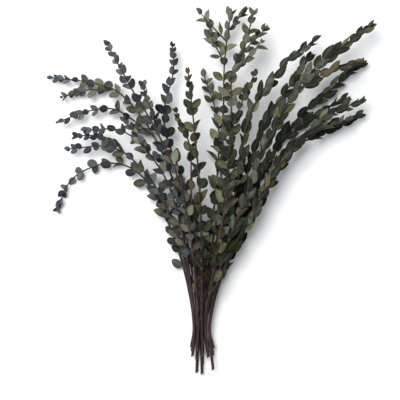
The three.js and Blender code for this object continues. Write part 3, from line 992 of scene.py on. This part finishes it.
foliage = store(leaf_tree, foliage, "leaf_tone", tone, domain="INSTANCE")
foliage = node(leaf_tree, "GeometryNodeRealizeInstances", {"Geometry": foliage}).outputs[0]
x, y, z = node(leaf_tree, "ShaderNodeSeparateXYZ", {
    0: node(leaf_tree, "GeometryNodeInputPosition").outputs[0]}).outputs
pressed = calculate(leaf_tree, "MULTIPLY_ADD", z, PRESSED_SHARE, PRESSED_LIFT * MM)
height = calculate(leaf_tree, "MAXIMUM", z, pressed)
rests = node(leaf_tree, "ShaderNodeCombineXYZ", {0: x, 1: y, 2: height}).outputs[0]
foliage = node(leaf_tree, "GeometryNodeSetPosition", {
    "Geometry": foliage, "Position": rests}).outputs[0]
finish_tree(leaf_tree, foliage, given["Finish"], out)
print("grow_leaves:", len(leaf_tree.nodes), "nodes")

# %% The closed pair at the end of every twig
TIP_OPENS = 15  # how far the last, unopened pair stands from its twig, in degrees
TIP_LENGTH = {"round": 6, "broad": 7, "star": 9, "feather": 9}


def closed_tip(shoot):
    """The last pair of leaves at the end of a twig, still folded together."""
    at, toward = point_along(shoot.route, length_of(shoot.route))
    for side in (0, 180):
        _, along, face = leaf_axes(toward, 90 * chance(shoot.seed) + side, TIP_OPENS)
        length = TIP_LENGTH[shoot.kind]
        yield SimpleNamespace(
            at=at, along=along, face=face, length=length, wax=outer_share(at), kind=shoot.kind,
        )


for b in BRANCHES:
    leaves[b.name] += [leaf for shoot in twigs[b.name] for leaf in closed_tip(shoot)]
all_leaves = [leaf for held in leaves.values() for leaf in held]
print("leaves with closed tips:", len(all_leaves))

# %% How deep each leaf lies under others, which sets its painted shade
# These set the painted shade: a leaf under others has its colour darkened.
SHELTER_REACH, SHELTER_LIFT = 16, 7  # a leaf this near, and this much higher, lies over another
SHELTER_FULL = 4.5  # under this many leaves, a leaf is as dark as any


def shelter(all_leaves):
    """Mark each leaf by how many lie over it, 0 in the open to 1 deep inside, for painted shade."""
    middles = [leaf.at + leaf.along * leaf.length / 2 for leaf in all_leaves]
    flat = mathutils.kdtree.KDTree(len(middles))
    for i, middle in enumerate(middles):
        flat.insert((middle.x, middle.y, 0), i)
    flat.balance()
    for leaf, middle in zip(all_leaves, middles):
        near = flat.find_range((middle.x, middle.y, 0), SHELTER_REACH)
        over = sum(middles[i].z > middle.z + SHELTER_LIFT for _, i, _ in near)
        leaf.sheltered = min(1, over / SHELTER_FULL)


shelter(all_leaves)
print("fully sheltered leaves:", sum(leaf.sheltered == 1 for leaf in all_leaves))

# %% The points that hold a branch's leaves


def point_mesh(name, held):
    kinds = list(OUTLINES)
    mesh = bpy.data.meshes.new(name)
    mesh.from_pydata([leaf.at * MM for leaf in held], [], [])
    keep(mesh, "FLOAT_VECTOR", runs=[c for leaf in held for c in leaf.along],
         faces=[c for leaf in held for c in leaf.face])
    keep(mesh, "FLOAT", leaf_length=[leaf.length * MM for leaf in held],
         wax_left=[leaf.wax for leaf in held], sheltered=[leaf.sheltered for leaf in held])
    keep(mesh, "INT", blade=[
        kinds.index(leaf.kind) * len(VARIANTS) + int(chance(i + leaf.length) * len(VARIANTS))
        for i, leaf in enumerate(held)
    ])
    return mesh


print("blades to pick from:", len(OUTLINES) * len(VARIANTS))

# %% [markdown]
# ## Growing each branch
#
# Each branch becomes two pieces, its twigs and its leaves, that together stand for one solid of the
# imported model. A tree's result is turned into a plain mesh, because instances and live modifiers are
# lost when the model is exported.

# %% Grow a mesh with a tree


def grow(name, mesh, tree, settings):
    """Run a tree of nodes on a mesh, and return an object that holds only the plain result."""
    seedling = bpy.data.objects.new(name + "_seedling", mesh)
    scene.collection.objects.link(seedling)
    modifier = seedling.modifiers.new("grow", "NODES")
    modifier.node_group = tree
    items = tree.interface.items_tree
    sockets = {item.name: item.identifier for item in items if item.in_out == "INPUT"}
    for socket, value in settings.items():
        modifier[sockets[socket]] = value
    graph = bpy.context.evaluated_depsgraph_get()
    grown = bpy.data.meshes.new_from_object(seedling.evaluated_get(graph), depsgraph=graph)
    bpy.data.objects.remove(seedling)
    piece = bpy.data.objects.new(name, grown)
    grown.name = name
    scene.collection.objects.link(piece)
    return piece


def mark_cut(piece):
    """Bark stays off the sawn end: the only cap whose points are all at the start of the stem."""
    far = piece.data.attributes["far_along"].data
    wood = piece.data.attributes.new("cut_wood", "FLOAT", "FACE").data
    for face in piece.data.polygons:
        if len(face.vertices) > 4 and far[face.vertices[0]].value < RING_GAP * MM / 2:
            wood[face.index].value = 1.0
            face.use_smooth = False


# %% Every branch, as a piece of twigs and a piece of leaves
FINISHES = {"slate": leaf_slate, "olive": leaf_olive}
# The darkest and the palest tone of each kind of leaf.
TONES = {"round": (0.12, 0.98), "broad": (0.0, 0.8), "star": (0.66, 1.0), "feather": (0.0, 0.88)}
triangles = 0
for number, b in enumerate(BRANCHES):
    name = b.name.removeprefix("branch_")
    darkest, palest = TONES[b.leaf]
    lines = line_mesh(name + "_lines", twigs[b.name])
    wood = grow(name + "_twigs", lines, twig_tree, {"Bark": twig_bark})
    mark_cut(wood)
    foliage = grow(name + "_leaves", point_mesh(name + "_points", leaves[b.name]), leaf_tree, {
        "Blades": blades, "Seed": number + 1, "Finish": FINISHES[b.tone],
        "Darkest": darkest, "Palest": palest,
    })
    for piece, slot in ((wood, "stem"), (foliage, "leaf_" + b.tone)):
        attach(piece, "root")
        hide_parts(b.name)
        triangles += sum(len(face.vertices) - 2 for face in piece.data.polygons)
print("pieces:", 2 * len(BRANCHES), "triangles:", triangles)

# %% Clear away what the trees grew from
for blade in list(blades.objects):
    bpy.data.objects.remove(blade)
bpy.data.collections.remove(blades)
